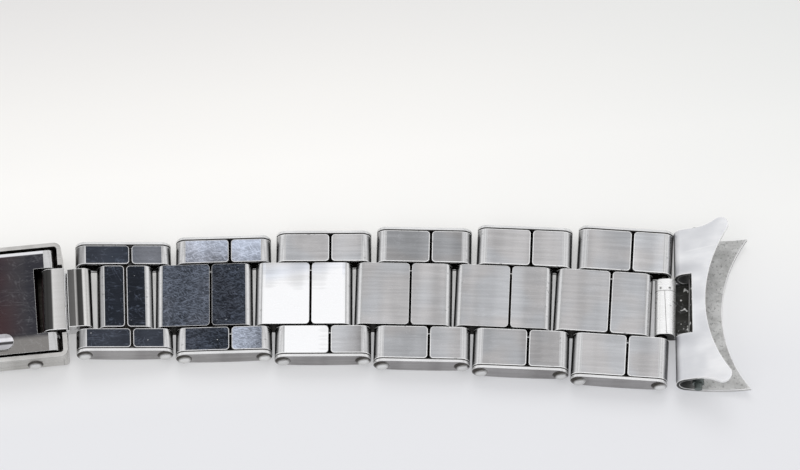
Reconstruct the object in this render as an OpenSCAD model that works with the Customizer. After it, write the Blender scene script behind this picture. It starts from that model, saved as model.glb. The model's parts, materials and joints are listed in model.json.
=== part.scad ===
// Riveted three-row watch bracelet of folded sheet steel with a fold-over clasp.
// It lies on its outer faces with the wrist side up. The clasp is in the middle,
// the long side runs to +X, the short side to -X, and every hinge pin lies across.

/* [Links] */
// Links on the side that hangs from the clasp's inner blade
long_links = 6; // [3:1:7]
// Links on the side that is held in the clasp's adjustment holes
short_links = 5; // [3:1:7]
// Distance between the two rivets of one outer link
pin_spacing = 8.3; // [7.6:0.1:9.4]
// Distance between the facing rivets of two neighbouring links
bridge = 2.1; // [2.05:0.05:2.3]
// Gap between two neighbouring outer links
link_gap = 0.4; // [0.35:0.01:0.42]
// Thickness of a link from its outer to its inner face
link_thick = 2.1; // [2:0.05:2.2]
// Radius of the gentle arch of a link's outer face
arch_radius = 60; // [45:5:200]
// Thickness of the folded sheet
sheet = 0.32; // [0.25:0.01:0.34]
// Width of the open seam where the sheet's two ends meet
seam_gap = 0.24; // [0.08:0.02:0.3]
// Distance of the seam from the middle of a link, away from the clasp
seam_offset = 0.7; // [0:0.1:1.5]
// Radius of the sheet's corners at both ends of a seam
leaf_corner = 0.4; // [0.1:0.05:0.6]

/* [Rows] */
// Width of the middle row
centre_width = 7.2; // [6.4:0.1:7.6]
// Gap between the middle row and each outer row
row_gap = 0.2; // [0.15:0.01:0.3]
// Bracelet width over the side plates next to the clasp
width_at_clasp = 12.8; // [12.4:0.1:13]
// Bracelet width over the side plates next to the watch case
width_at_case = 17.8; // [15:0.1:20]
// Thickness of a side plate
plate = 0.4; // [0.3:0.05:0.5]
// Gap between two neighbouring pieces of the middle row
tail_gap = 0.25; // [0.2:0.05:0.4]

/* [Pins] */
// Diameter of the rivet pins
pin_d = 0.9; // [0.8:0.02:0.92]
// Clearance around a pin that a piece turns on, measured on the radius
running_play = 0.1; // [0.095:0.005:0.11]
// Clearance around a pin that is held fast, measured on the radius
held_play = 0.02; // [0.01:0.005:0.04]
// Diameter of a domed rivet head
head_d = 1.65; // [1.3:0.05:1.8]
// Height of a domed rivet head
head_h = 0.42; // [0.2:0.02:0.5]

/* [Connectors] */
// Distance between the two pins of the short link at the clasp
connector_span = 3.5; // [3.3:0.1:4]
// Half the thickness of the short link at the clasp
connector_r = 0.85; // [0.8:0.01:0.9]
// Width of the short link where it sits in the last outer link
connector_narrow = 6.8; // [5.6:0.1:7]
// Gap between the short link and the loose middle piece behind it
filler_gap = 0.5; // [0.4:0.1:1.2]
// Length of the flat bar that carries the loose middle piece
filler_bar = 2.6; // [1.6:0.1:3.2]
// Width of the loop that joins the last link to the end piece
loop_width = 6.5; // [5.4:0.1:6.8]
// Distance from the last rivet to the spring bar in the end piece
loop_span = 3.6; // [3.5:0.05:4]
// Radius of the loop's roll around the last rivet
loop_r = 0.8; // [0.75:0.01:0.85]
// Length of the flat between the two rounded sides of that roll
loop_flat = 0.6; // [0:0.1:0.8]
// Wall of the loop's roll around the spring bar
loop_wall = 0.16; // [0.14:0.01:0.18]
// Thickness of the strip between the loop's two rolls
loop_strip = 0.3; // [0.28:0.02:0.4]

/* [End pieces] */
// Width of an end piece between the watch lugs
end_width = 17.6; // [15:0.1:19.8]
// Thickness of the end piece's sheet
end_sheet = 0.4; // [0.3:0.05:0.5]
// Outer radius of the fold that faces the links
fold_r = 1.3; // [1.25:0.01:1.35]
// Distance from the spring bar back to the face of the fold
fold_back = 2.3; // [2.2:0.05:2.35]
// Height of the spring bar above the middle of the fold
bar_above_fold = 0.1; // [0.05:0.01:0.15]
// Radius of the outer face, seen from the side
end_arch = 14; // [12:0.5:20]
// Slope of the inner flange
flange_slope = 12; // [9:1:14]
// Distance from the spring bar to the middle of the flange's hollow edge
flange_reach = 1.0; // [0.9:0.1:1.6]
// Distance from the spring bar to the middle of the outer face's hollow edge
cover_reach = 2.5; // [2:0.1:3]
// Radius of the watch case that both hollow edges follow
case_r = 15; // [14:0.5:20]
// Distance that each horn of the flange reaches past the end piece's side
horn_flare = 0.8; // [0.4:0.1:1.2]
// Radius of the rounded horn tips of the flange
horn_r = 0.9; // [0.5:0.05:1]
// Radius of the hollow between the flange's side and its horn
scoop_r = 4; // [2:0.5:6]
// Direction in which the fold ends on the outer side, from the bracelet's axis
fold_end = 110; // [100:2:120]
// Depth of the slot that takes the loop, measured from the face of the fold
slot_depth = 1.9; // [1.8:0.05:2]
// Diameter of the spring bar's tube
bar_d = 1.2; // [1.1:0.02:1.22]
// Diameter of the spring bar's tips
bar_tip_d = 0.8; // [0.7:0.02:0.9]
// Length of a tip that stands out of the end piece
bar_tip = 0.6; // [0.5:0.1:1]

/* [Clasp] */
// Length of the clasp's cover
cover_length = 36; // [34:0.5:44]
// Height of the cover's side walls
cover_height = 2.75; // [2.6:0.05:3]
// Thickness of the cover's sheet
cover_sheet = 0.45; // [0.35:0.05:0.5]
// Radius of the cover's two corners at the hinge end
cover_corner = 0.8; // [0.6:0.1:2]
// Radius of the cover's long lower edges
cover_edge = 0.8; // [0.6:0.1:1]
// Thickness of the two folding blades
blade_sheet = 0.5; // [0.4:0.05:0.5]
// Width of the two folding blades
blade_width = 11.8; // [11.6:0.1:12]
// Gap between a blade and the cover's side wall
blade_side_gap = 0.35; // [0.3:0.05:0.8]
// Distance between the two hinges of the middle blade
blade_length = 18; // [16:0.5:19]
// Half the thickness of the blades' rolled ends
knuckle_r = 0.75; // [0.7:0.01:0.78]
// Gap between blades, knuckles and walls
blade_gap = 0.12; // [0.1:0.01:0.15]
// Distance from the cover's hinge end to the cover's hinge
cover_hinge_in = 3.5; // [3.4:0.1:3.6]
// Distance from the cover's hinge end to the pin of the short link
ear_pin_in = 1.5; // [1.45:0.05:1.6]
// Depth of the fork that lets the short link in, measured from its pin
fork_depth = 1.5; // [1.2:0.1:1.8]
// Length of the oval bead that stiffens the inner blade
bead_length = 10.5; // [6:0.5:13]
// Width of the oval bead
bead_width = 1.8; // [1:0.1:2]
// Height of the oval bead above the blade
bead_height = 0.2; // [0.1:0.05:0.3]
// Distance from the blade's long edge to the oval bead
bead_in = 0.5; // [0.3:0.1:0.8]
// Distance from the bead's rounded end to the pin of the short link
bead_back = 4; // [3:0.5:6]
// Width of the middle blade's single knuckle
middle_knuckle = 4; // [3:0.5:5]
// Number of adjustment holes in each wall
adjust_holes = 5; // [3:1:5]
// Distance between two adjustment holes
adjust_pitch = 2.3; // [2:0.1:2.4]
// Distance from the cover's open end to its first adjustment hole
adjust_in = 1.8; // [1.6:0.1:2]
// Diameter of the adjustment spring bar
adjust_bar_d = 1.1; // [1:0.02:1.12]
// Diameter of the adjustment spring bar's tips
adjust_tip_d = 0.7; // [0.6:0.02:0.8]

/* [Lay] */
// Turn of each link against the one before, within the play of its pin
lay_turn = 1.5; // [0:0.1:1.5]
// Height of the end piece's spring bar above the table
end_rise = 1.7; // [1.68:0.01:1.8]
// Tilt of the end piece on the table
end_tilt = 8; // [6:0.5:10]

/* [Hidden] */
$fn = 48;
SIDES = ["long", "short"];
ends = [-1, 1];
overcut = 1;

link_pitch = pin_spacing + bridge;
link_reach = (bridge - link_gap) / 2;
link_r = link_thick / 2;
row_inner = centre_width / 2 + row_gap;
cavity = link_thick - 2 * sheet;

cover_width = blade_width + 2 * (blade_side_gap + cover_sheet);
clasp_right = cover_length / 2;
cover_hinge_x = clasp_right - cover_hinge_in;
cover_hinge_z = cover_sheet + blade_gap + knuckle_r;
blade_hinge_x = cover_hinge_x - blade_length;
middle_blade_top = cover_hinge_z + knuckle_r;
inner_blade_top = middle_blade_top + blade_gap + blade_sheet;
clasp_pin_z = inner_blade_top - knuckle_r;
ear_pin_x = clasp_right - ear_pin_in;
adjust_x = cover_length / 2 - adjust_in;

step_down = asin((clasp_pin_z - link_r) / pin_spacing);
loop_rise = asin((end_rise - link_r) / loop_span);
loop_bar_r = bar_d / 2 + running_play + loop_wall;

function links_on(side) = side == "long" ? long_links : short_links;
function way(side) = side == "long" ? 1 : -1;
function link_width(side, k) =
    width_at_clasp + (width_at_case - width_at_clasp) * (k - 1) / (links_on(side) - 1);

// The bodies of a side count from the clasp: 0 is the short link, 1 to the number
// of links are the links, and the loop and the end piece follow. Each link turns
// a little further than the one before, and the last two pieces turn back.
function reach(side, n) =
    n == 0 ? connector_span :
    n == 1 ? pin_spacing :
    n <= links_on(side) ? link_pitch : loop_span;
function turn(side, n) = -way(side) * lay_turn * min(n + 1, 2 * links_on(side) + 1 - n);
function slope(side, n) =
    n == 1 ? step_down :
    n == links_on(side) + 1 ? -loop_rise :
    n == links_on(side) + 2 ? -end_tilt : 0;
function along(side, n) = [
    cos(slope(side, n)) * cos(turn(side, n)),
    cos(slope(side, n)) * sin(turn(side, n)),
    -sin(slope(side, n))
];
function hinge_at(side, n) =
    n == 0 ? [side == "long" ? ear_pin_x : adjust_x, 0, clasp_pin_z]
    : hinge_at(side, n - 1) + reach(side, n - 1) * along(side, n - 1);

// Puts a body of a side in its place, with its hinge pin along its own Y axis
module seat(side, n) {
    rotate(side == "long" ? 0 : 180)
        translate(hinge_at(side, n))
            rotate([0, slope(side, n), turn(side, n)]) children();
}

// Extrudes a side view across the bracelet, centred on y
module across(width, y = 0) {
    translate([0, y + width / 2, 0]) rotate([90, 0, 0]) linear_extrude(width) children();
}

// Side view of a link between x = from and x = to: round ends, arched outer face
module link_outline(from, to, inset = 0) {
    r = link_r - inset;
    intersection() {
        union() {
            translate([from + link_r, -r]) square([to - from - link_thick, 2 * r]);
            for (x = [from + link_r, to - link_r]) translate([x, 0]) circle(r);
        }
        translate([(from + to) / 2, arch_radius - link_r]) circle(arch_radius - inset, $fn = 200);
    }
}

// Slit through the inner face where the two ends of the folded sheet meet
module seam(x) {
    translate([x - seam_gap / 2, 0]) square([seam_gap, link_thick]);
}

// Rounds the sheet's corners where a seam at x runs out at the row's end at y
module leaf_corners(x, y, way_out) {
    side = leaf_corner + seam_gap / 2;
    translate([x, y - way_out * leaf_corner, (cavity - sheet) / 2])
        linear_extrude(2 * sheet) difference() {
            translate([-side, way_out > 0 ? 0 : -overcut - leaf_corner])
                square([2 * side, leaf_corner + overcut]);
            for (s = ends) translate([s * side, 0]) circle(leaf_corner);
        }
}

module pin(d, length) {
    rotate([90, 0, 0]) cylinder(d = d, h = length, center = true);
}

module rivet(length) {
    dome_r = (pow(head_d / 2, 2) + pow(head_h, 2)) / (2 * head_h);
    pin(pin_d, length);
    for (s = ends) rotate([-90 * s, 0, 0]) translate([0, 0, length / 2])
        rotate_extrude() intersection() {
            translate([0, head_h - dome_r]) circle(dome_r, $fn = 96);
            square([head_d / 2, head_h]);
        }
}

// The first link hangs on its own first rivet, the others on the rivet before
function own_rivet(k) = k == 1 ? 0 : bridge;

module outer_links(side, k) {
    first = own_rivet(k);
    from = first - link_reach;
    to = first + pin_spacing + link_reach;
    seam_x = (from + to) / 2 + seam_offset;
    shell = link_width(side, k) / 2 - plate - row_inner;
    color("silver") seat(side, k)
        for (s = ends) difference() {
            across(shell, s * (row_inner + shell / 2)) difference() {
                link_outline(from, to);
                link_outline(from, to, sheet);
                seam(seam_x);
            }
            leaf_corners(seam_x, s * row_inner, -s);
            leaf_corners(seam_x, s * (row_inner + shell), s);
        }
}

module side_plates(side, k) {
    first = own_rivet(k);
    y = (link_width(side, k) - plate) / 2;
    color("darkgray") seat(side, k)
        for (s = ends) difference() {
            across(plate, s * y)
                link_outline(first - link_reach, first + pin_spacing + link_reach);
            for (x = [first, first + pin_spacing])
                translate([x, 0, 0]) pin(pin_d + 2 * held_play, 2 * link_width(side, k));
        }
}

module rivet_pins(side, k) {
    first = own_rivet(k);
    color("gainsboro") seat(side, k)
        for (x = [first, first + pin_spacing])
            translate([x, 0, 0]) rivet(link_width(side, k));
}

// Folded around the rivet of the link before and its own first rivet, with a long
// hollow tail that fills its own link
module centre_link(side, k) {
    from = -link_reach;
    to = link_pitch - link_reach - tail_gap;
    core_end = bridge + link_reach;
    seam_x = (from + to) / 2 + seam_offset;
    color("lightgray") seat(side, k) difference() {
        across(centre_width) difference() {
            link_outline(from, to);
            intersection() {
                link_outline(from, to, sheet);
                translate([core_end, -link_thick]) square([to, 2 * link_thick]);
            }
            seam(seam_x);
            circle(pin_d / 2 + running_play);
            translate([bridge, 0]) circle(pin_d / 2 + held_play);
        }
        for (s = ends) leaf_corners(seam_x, s * centre_width / 2, s);
    }
}

// Loose middle piece of the first link: a folded sheet on a flat bar that is
// caught between the faces of both outer rows
module filler_link(side) {
    from = connector_r + filler_gap;
    to = pin_spacing - link_reach - tail_gap;
    middle = (from + to) / 2;
    rows = link_width(side, 1) - 2 * plate - 2 * running_play;
    bar_z = -cavity / 2 + held_play + sheet / 2;
    color("lightgray") seat(side, 1) {
        difference() {
            across(centre_width) difference() {
                link_outline(from, to);
                link_outline(from, to, sheet);
                seam(middle);
            }
            for (s = ends) leaf_corners(middle, s * centre_width / 2, s);
        }
        translate([middle - filler_bar / 2, -centre_width / 2, -link_r + sheet / 2])
            cube([filler_bar, centre_width, link_r - sheet / 2]);
        translate([middle - filler_bar / 2, -rows / 2, bar_z])
            cube([filler_bar, rows, cavity / 2 - held_play - bar_z]);
    }
}

// Short link at the clasp: two rolled leaves, the one in the outer link narrower
module connector(side) {
    hook_d = side == "long" ? pin_d : adjust_bar_d;
    join = connector_span / 2;
    color("silver") seat(side, 0) difference() {
        intersection() {
            across(centre_width) {
                translate([0, -connector_r]) square([connector_span, 2 * connector_r]);
                for (x = [0, connector_span]) translate([x, 0]) circle(connector_r);
            }
            union() {
                translate([-connector_span, -centre_width / 2, -link_thick])
                    cube([connector_span + join, centre_width, 2 * link_thick]);
                translate([-connector_span, -connector_narrow / 2, -link_thick])
                    cube([3 * connector_span, connector_narrow, 2 * link_thick]);
            }
        }
        across(2 * centre_width) {
            circle(hook_d / 2 + running_play);
            translate([connector_span, 0]) circle(pin_d / 2 + running_play);
            translate([join - seam_gap / 2, 0]) square([seam_gap, link_thick]);
        }
    }
}

// Loop between the last rivet and the spring bar: a strip along the outer side that
// is rolled up around a pin at each end, with a hollow between the two rolls
module end_loop(side) {
    lean = asin((loop_bar_r - loop_r) / loop_span);
    down = [-sin(lean), -cos(lean)];
    far = [loop_span, 0];
    color("whitesmoke") seat(side, links_on(side) + 1) across(loop_width) difference() {
        union() {
            for (x = [0, loop_flat]) translate([x, 0]) circle(loop_r);
            translate([0, -loop_r]) square([loop_flat, 2 * loop_r]);
            translate(far) circle(loop_bar_r);
            polygon([loop_r * down, far + loop_bar_r * down,
                     far + (loop_bar_r - loop_strip) * down, (loop_r - loop_strip) * down]);
        }
        circle(pin_d / 2 + running_play);
        translate(far) circle(bar_d / 2 + running_play);
    }
}

// Side view of the end piece's outer face, fold and flange, filled on the inside
module end_outline(inset, over) {
    fold = [fold_r - fold_back, -bar_above_fold];
    r = fold_r - inset;
    low = [cos(fold_end), -sin(fold_end)];
    high = [-sin(flange_slope), cos(flange_slope)];
    far = case_r + over;
    translate(fold) circle(r);
    intersection() {
        translate(fold - (end_arch - fold_r) * low) circle(end_arch - inset, $fn = 200);
        polygon([
            fold + r * high,
            fold + r * high + far * [cos(flange_slope), sin(flange_slope)],
            [far, -end_arch],
            [fold.x + r * low.x, -end_arch],
            fold + r * low
        ]);
    }
}

// Flange seen from above: a hollow edge along the case runs out into two round
// horns, and a scoop leads from each side to its horn
module flange_plan() {
    half = end_width / 2;
    case_x = flange_reach + case_r;
    horn_y = half + horn_flare - horn_r;
    horn_x = case_x - sqrt(pow(case_r + horn_r, 2) - pow(horn_y, 2));
    scoop_y = half + scoop_r;
    scoop_x = horn_x - sqrt(pow(scoop_r + horn_r, 2) - pow(scoop_y - horn_y, 2));
    horn = [horn_x, horn_y];
    case_touch = horn + horn_r / (case_r + horn_r) * [case_x - horn_x, -horn_y];
    scoop_touch = horn + horn_r / (scoop_r + horn_r) * [scoop_x - horn_x, scoop_y - horn_y];
    difference() {
        union() {
            translate([-fold_back - overcut, -half])
                square([fold_back + overcut + scoop_x, end_width]);
            for (flip = [0, 1]) mirror([0, flip]) {
                translate(horn) circle(horn_r);
                polygon([[scoop_x - overcut, 0], [case_touch.x, 0], case_touch, horn,
                         scoop_touch, [scoop_x, half], [scoop_x - overcut, half]]);
            }
        }
        translate([case_x, 0]) circle(case_r, $fn = 160);
        for (s = ends) translate([scoop_x, s * scoop_y]) circle(scoop_r, $fn = 96);
    }
}

// Outer face seen from above: hollow edge along the case and pointed corners
module outer_plan() {
    difference() {
        translate([-fold_back - overcut, -end_width / 2])
            square([fold_back + overcut + cover_reach + case_r, end_width]);
        translate([cover_reach + case_r, 0]) circle(case_r, $fn = 160);
    }
}

module end_link(side) {
    split = -bar_above_fold;
    slot = loop_width + 2 * row_gap;
    color("lightsteelblue") seat(side, links_on(side) + 2)
        difference() {
            intersection() {
                across(2 * end_width) difference() {
                    end_outline(0, 0);
                    end_outline(end_sheet, overcut);
                }
                union() {
                    translate([0, 0, split]) linear_extrude(2 * link_thick) flange_plan();
                    translate([0, 0, split - 2 * link_thick])
                        linear_extrude(2 * link_thick) outer_plan();
                }
            }
            translate([-fold_back - overcut, -slot / 2, -2 * link_thick])
                cube([slot_depth + overcut, slot, 4 * link_thick]);
        }
}

module spring_bar(side) {
    color("dimgray") seat(side, links_on(side) + 2) {
        pin(bar_d, end_width);
        pin(bar_tip_d, end_width + 2 * bar_tip);
    }
}

// Plan of the clasp's cover: open at the short side, rounded at the hinge end
module cover_plan(inset, over) {
    half = cover_width / 2 - inset;
    r = cover_corner - inset;
    left = -clasp_right - over;
    right = clasp_right - inset;
    translate([left, -half]) square([right - r - left, 2 * half]);
    translate([left, -half + r]) square([right - left, 2 * (half - r)]);
    for (s = ends) translate([right - r, s * (half - r)]) circle(r);
}

// Section of the cover: rounded lower edges, open at the top
module cover_section(inset, over) {
    half = cover_width / 2 - inset;
    r = cover_edge - inset;
    top = cover_height + over;
    translate([-half, inset + r]) square([2 * half, top - inset - r]);
    translate([-half + r, inset]) square([2 * (half - r), r]);
    for (s = ends) translate([s * (half - r), inset + r]) circle(r);
}

module cover_body(inset, over) {
    intersection() {
        linear_extrude(cover_height + over) cover_plan(inset, over);
        translate([-cover_length, 0, 0]) rotate([90, 0, 90])
            linear_extrude(2 * cover_length) cover_section(inset, over);
    }
}

module clasp_cover() {
    notch = centre_width + 4 * row_gap;
    groove = cover_sheet / 3;
    color("slategray") difference() {
        cover_body(0, 0);
        cover_body(cover_sheet, overcut);
        translate([clasp_right - cover_corner, -notch / 2, cover_sheet])
            cube([2 * cover_corner, notch, cover_height]);
        for (s = ends) translate([-cover_length, s * row_inner - groove, -groove])
            cube([2 * cover_length, 2 * groove, 2 * groove]);
        translate([cover_hinge_x, 0, cover_hinge_z])
            pin(pin_d + 2 * held_play, 2 * cover_width);
        for (i = [0 : adjust_holes - 1])
            translate([-adjust_x + i * adjust_pitch, 0, clasp_pin_z])
                pin(adjust_tip_d + 2 * held_play, 2 * cover_width);
    }
}

module cover_hinge_rivet() {
    color("gainsboro") translate([cover_hinge_x, 0, cover_hinge_z]) rivet(cover_width);
}

// Box under a blade's rolled end that keeps it clear of the other blade's knuckle
module knuckle_notch(from_y, to_y) {
    size = knuckle_r + blade_gap;
    translate([blade_hinge_x - size, from_y, 0])
        cube([2 * size, to_y - from_y, 2 * cover_height]);
}

// Oval seen from above, with one round end at the origin and the other behind it
module oval(length, width) {
    straight = length - width;
    translate([-straight - width / 2, -width / 2]) square([straight, width]);
    for (x = [0, -straight]) translate([x - width / 2, 0]) circle(width / 2);
}

module middle_blade() {
    knuckle = middle_knuckle / 2;
    color("gray") difference() {
        union() {
            difference() {
                translate([blade_hinge_x, -blade_width / 2, middle_blade_top - blade_sheet])
                    cube([blade_length, blade_width, blade_sheet]);
                for (s = ends) mirror([0, s > 0 ? 0 : 1, 0])
                    knuckle_notch(knuckle, blade_width);
            }
            translate([blade_hinge_x, 0, clasp_pin_z]) pin(2 * knuckle_r, middle_knuckle);
            translate([cover_hinge_x, 0, cover_hinge_z]) pin(2 * knuckle_r, blade_width);
        }
        translate([blade_hinge_x, 0, clasp_pin_z])
            pin(pin_d + 2 * running_play, 2 * blade_width);
        translate([cover_hinge_x, 0, cover_hinge_z])
            pin(pin_d + 2 * running_play, 2 * blade_width);
    }
}

module inner_blade() {
    knuckle = middle_knuckle / 2 + blade_gap;
    fork = centre_width / 2 + row_gap;
    color("dimgray") difference() {
        union() {
            difference() {
                union() {
                    translate([blade_hinge_x, -blade_width / 2, inner_blade_top - blade_sheet])
                        cube([ear_pin_x - blade_hinge_x, blade_width, blade_sheet]);
                    translate([blade_hinge_x, 0, clasp_pin_z]) pin(2 * knuckle_r, blade_width);
                }
                knuckle_notch(-knuckle, knuckle);
            }
            translate([ear_pin_x, 0, clasp_pin_z]) pin(2 * knuckle_r, blade_width);
            translate([ear_pin_x - bead_back, bead_in + (bead_width - blade_width) / 2,
                       inner_blade_top - blade_sheet / 2])
                linear_extrude(blade_sheet / 2 + bead_height) oval(bead_length, bead_width);
        }
        translate([ear_pin_x - fork_depth, -fork, 0])
            cube([2 * fork_depth + knuckle_r, 2 * fork, 2 * cover_height]);
        for (x = [blade_hinge_x, ear_pin_x]) translate([x, 0, clasp_pin_z])
            pin(pin_d + 2 * held_play, 2 * blade_width);
    }
}

module blade_hinge_pin() {
    color("gainsboro") translate([blade_hinge_x, 0, clasp_pin_z]) pin(pin_d, blade_width);
}

module connector_pin() {
    color("gainsboro") translate([ear_pin_x, 0, clasp_pin_z]) pin(pin_d, blade_width);
}

module adjust_spring_bar() {
    color("gainsboro") translate([-adjust_x, 0, clasp_pin_z]) {
        pin(adjust_bar_d, cover_width - 2 * cover_sheet - 2 * blade_gap);
        pin(adjust_tip_d, cover_width);
    }
}

clasp_cover();
cover_hinge_rivet();
middle_blade();
inner_blade();
blade_hinge_pin();
connector_pin();
adjust_spring_bar();
for (side = SIDES) {
    connector(side);
    filler_link(side);
    end_loop(side);
    end_link(side);
    spring_bar(side);
    for (k = [1 : links_on(side)]) {
        outer_links(side, k);
        side_plates(side, k);
        rivet_pins(side, k);
    }
    for (k = [2 : links_on(side)])
        centre_link(side, k);
}
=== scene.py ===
# %% [markdown]
# # A riveted watch bracelet, dressed for its portrait
#
# The bracelet comes in as a finished mechanical model: every folded link, rivet and
# blade is there in its true size. This lesson gives those solids the look of steel
# that has been worn for years. We never move a part of that model. We copy its
# meshes, soften their edges as a polishing wheel would, and paint them with
# procedural materials.

import json
import math

import bmesh
import bpy
from mathutils import Matrix, Vector

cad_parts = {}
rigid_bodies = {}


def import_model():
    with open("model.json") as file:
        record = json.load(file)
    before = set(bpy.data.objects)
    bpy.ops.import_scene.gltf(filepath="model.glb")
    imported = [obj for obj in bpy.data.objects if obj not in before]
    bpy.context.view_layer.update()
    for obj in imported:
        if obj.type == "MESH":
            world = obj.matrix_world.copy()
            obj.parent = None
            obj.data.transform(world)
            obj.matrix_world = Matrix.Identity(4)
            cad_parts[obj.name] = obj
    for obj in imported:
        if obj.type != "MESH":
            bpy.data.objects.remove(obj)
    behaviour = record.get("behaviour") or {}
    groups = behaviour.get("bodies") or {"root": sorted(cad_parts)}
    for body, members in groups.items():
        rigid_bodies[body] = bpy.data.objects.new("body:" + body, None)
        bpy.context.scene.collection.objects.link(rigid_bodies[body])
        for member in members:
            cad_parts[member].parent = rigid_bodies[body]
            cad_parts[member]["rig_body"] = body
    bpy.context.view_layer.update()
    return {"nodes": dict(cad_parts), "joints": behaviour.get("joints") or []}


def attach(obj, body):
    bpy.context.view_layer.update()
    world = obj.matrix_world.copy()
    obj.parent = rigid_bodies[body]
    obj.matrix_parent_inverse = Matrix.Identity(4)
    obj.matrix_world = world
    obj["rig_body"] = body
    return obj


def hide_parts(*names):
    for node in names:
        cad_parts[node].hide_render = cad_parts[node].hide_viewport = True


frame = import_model()
MM = 0.001

# %% [markdown]
# ## Each body's own axes
#
# The bracelet lies in a gentle curve, so every body points its own way. Its near pin
# and its far pin tell us where its own X axis lies: X runs away from the clasp, Y
# runs along the pin and Z stands on the wrist side. With these axes we can say "one
# millimetre behind the rivet" for any link.

# %% Axes of the bodies
def own_axes(body):
    near = next((j for j in frame["joints"] if j["child"] == body), None)
    far = next((j for j in frame["joints"] if j["parent"] == body), None)
    if near is None:
        return Matrix.Identity(4)
    origin = Vector(near["pos_m"])
    if far is None:
        pin = Vector(near["axis"]) * (-1 if body.startswith("short") else 1)
        along = pin.cross(Vector((0, 0, 1)))
    else:
        along = (Vector(far["pos_m"]) - origin).normalized()
    across = Vector((0, 0, 1)).cross(along).normalized()
    turned = Matrix((along, across, along.cross(across))).transposed()
    return (Matrix.Translation(origin) @ turned.to_4x4()).inverted()


def in_own_axes(name):
    axes = own_axes(frame["nodes"][name]["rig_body"])
    return lambda point: axes @ point / MM


# %% [markdown]
# ## The camera
#
# The photograph looks down on the wrist side of the long half of the bracelet. A
# camera can be described by what it looks at, from which side, how high and how far
# away. We build its three axes from those numbers instead of typing a rotation,
# because then each number means something that we can see in the picture.

# %% Place the camera
LOOK_AT = Vector((53.57, 4.57, 1.0)) * MM
CAMERA_SIDE = math.radians(-5.68)
CAMERA_HEIGHT = math.radians(61)
CAMERA_ROLL = math.radians(-0.56)
CAMERA_DISTANCE = 367.4 * MM
LENS = 156.8

back = Vector((
    math.sin(CAMERA_SIDE) * math.cos(CAMERA_HEIGHT),
    -math.cos(CAMERA_SIDE) * math.cos(CAMERA_HEIGHT),
    math.sin(CAMERA_HEIGHT),
))
level = Vector((math.cos(CAMERA_SIDE), math.sin(CAMERA_SIDE), 0))
upright = back.cross(level)
right = level * math.cos(CAMERA_ROLL) + upright * math.sin(CAMERA_ROLL)
up = back.cross(right)

camera = bpy.data.objects.new("camera", bpy.data.cameras.new("camera"))
camera.data.lens = LENS
camera.data.sensor_width = 36
camera.data.clip_start = 0.01
camera.matrix_world = Matrix.Translation(LOOK_AT + back * CAMERA_DISTANCE) @ Matrix(
    (right, up, back)).transposed().to_4x4()
bpy.context.scene.collection.objects.link(camera)
bpy.context.scene.camera = camera
bpy.context.scene.view_settings.view_transform = "Standard"
print("camera stands at", [round(v / MM) for v in camera.location], "mm")

# %% [markdown]
# ## Small helpers for node trees
#
# A material is a tree of nodes. Writing `wire(tree, value, socket)` for each link
# keeps the recipes short: a plain number becomes the socket's own value, and an
# output of another node becomes a link.

# %% Helpers for node trees
def wire(tree, value, socket):
    if isinstance(value, bpy.types.NodeSocket):
        tree.links.new(value, socket)
    else:
        socket.default_value = value


def node(tree, kind, *values, **settings):
    made = tree.nodes.new("ShaderNode" + kind)
    for name, value in settings.items():
        setattr(made, name, value)
    for socket, value in zip(made.inputs, values):
        if value is not None:
            wire(tree, value, socket)
    return made


def maths(tree, operation, *values):
    return node(tree, "Math", *values, operation=operation).outputs[0]


def smooth_step(tree, value, low, high):
    ranged = node(tree, "MapRange", value, low, high, 0.0, 1.0,
                  interpolation_type="SMOOTHSTEP")
    return ranged.outputs[0]


def blend_colour(tree, share, first, second):
    mix = node(tree, "Mix", data_type="RGBA")
    wire(tree, share, mix.inputs["Factor"])
    wire(tree, first, mix.inputs["A"])
    wire(tree, second, mix.inputs["B"])
    return mix.outputs["Result"]


def noise(tree, vector, detail=2.0, roughness=0.5):
    made = node(tree, "TexNoise")
    wire(tree, vector, made.inputs["Vector"])
    made.inputs["Scale"].default_value = 1.0
    made.inputs["Detail"].default_value = detail
    made.inputs["Roughness"].default_value = roughness
    return made.outputs["Fac"]


def scaled(tree, place, scale):
    return node(tree, "VectorMath", place, scale, operation="MULTIPLY").outputs[0]


def millimetres(tree):
    place = node(tree, "TexCoord").outputs["Object"]
    return scaled(tree, place, (1 / MM, 1 / MM, 1 / MM))


def own_place(tree):
    return node(tree, "Attribute", attribute_name="place").outputs["Vector"]


def attribute(tree, name):
    return node(tree, "Attribute", attribute_name=name).outputs["Fac"]


def split(tree, place):
    return node(tree, "SeparateXYZ", place).outputs


def bump_at(tree, value, centre, reach):
    """1 where value is at the centre, fading to 0 at that distance from it."""
    away = maths(tree, "ABSOLUTE", maths(tree, "SUBTRACT", value, centre))
    return maths(tree, "SUBTRACT", 1.0, smooth_step(tree, away, 0.0, reach))


def grey_ramp(tree, share, *stops):
    ramp = node(tree, "ValToRGB", share)
    elements = ramp.color_ramp.elements
    while len(elements) < len(stops):
        elements.new(0.5)
    for element, (position, value) in zip(elements, stops):
        element.position = position
        element.color = (value, value, value, 1)
    return ramp.outputs["Color"]


def multiplied(tree, first, second):
    mix = node(tree, "Mix", data_type="RGBA", blend_type="MULTIPLY")
    mix.inputs["Factor"].default_value = 1.0
    wire(tree, first, mix.inputs["A"])
    wire(tree, second, mix.inputs["B"])
    return mix.outputs["Result"]


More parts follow.
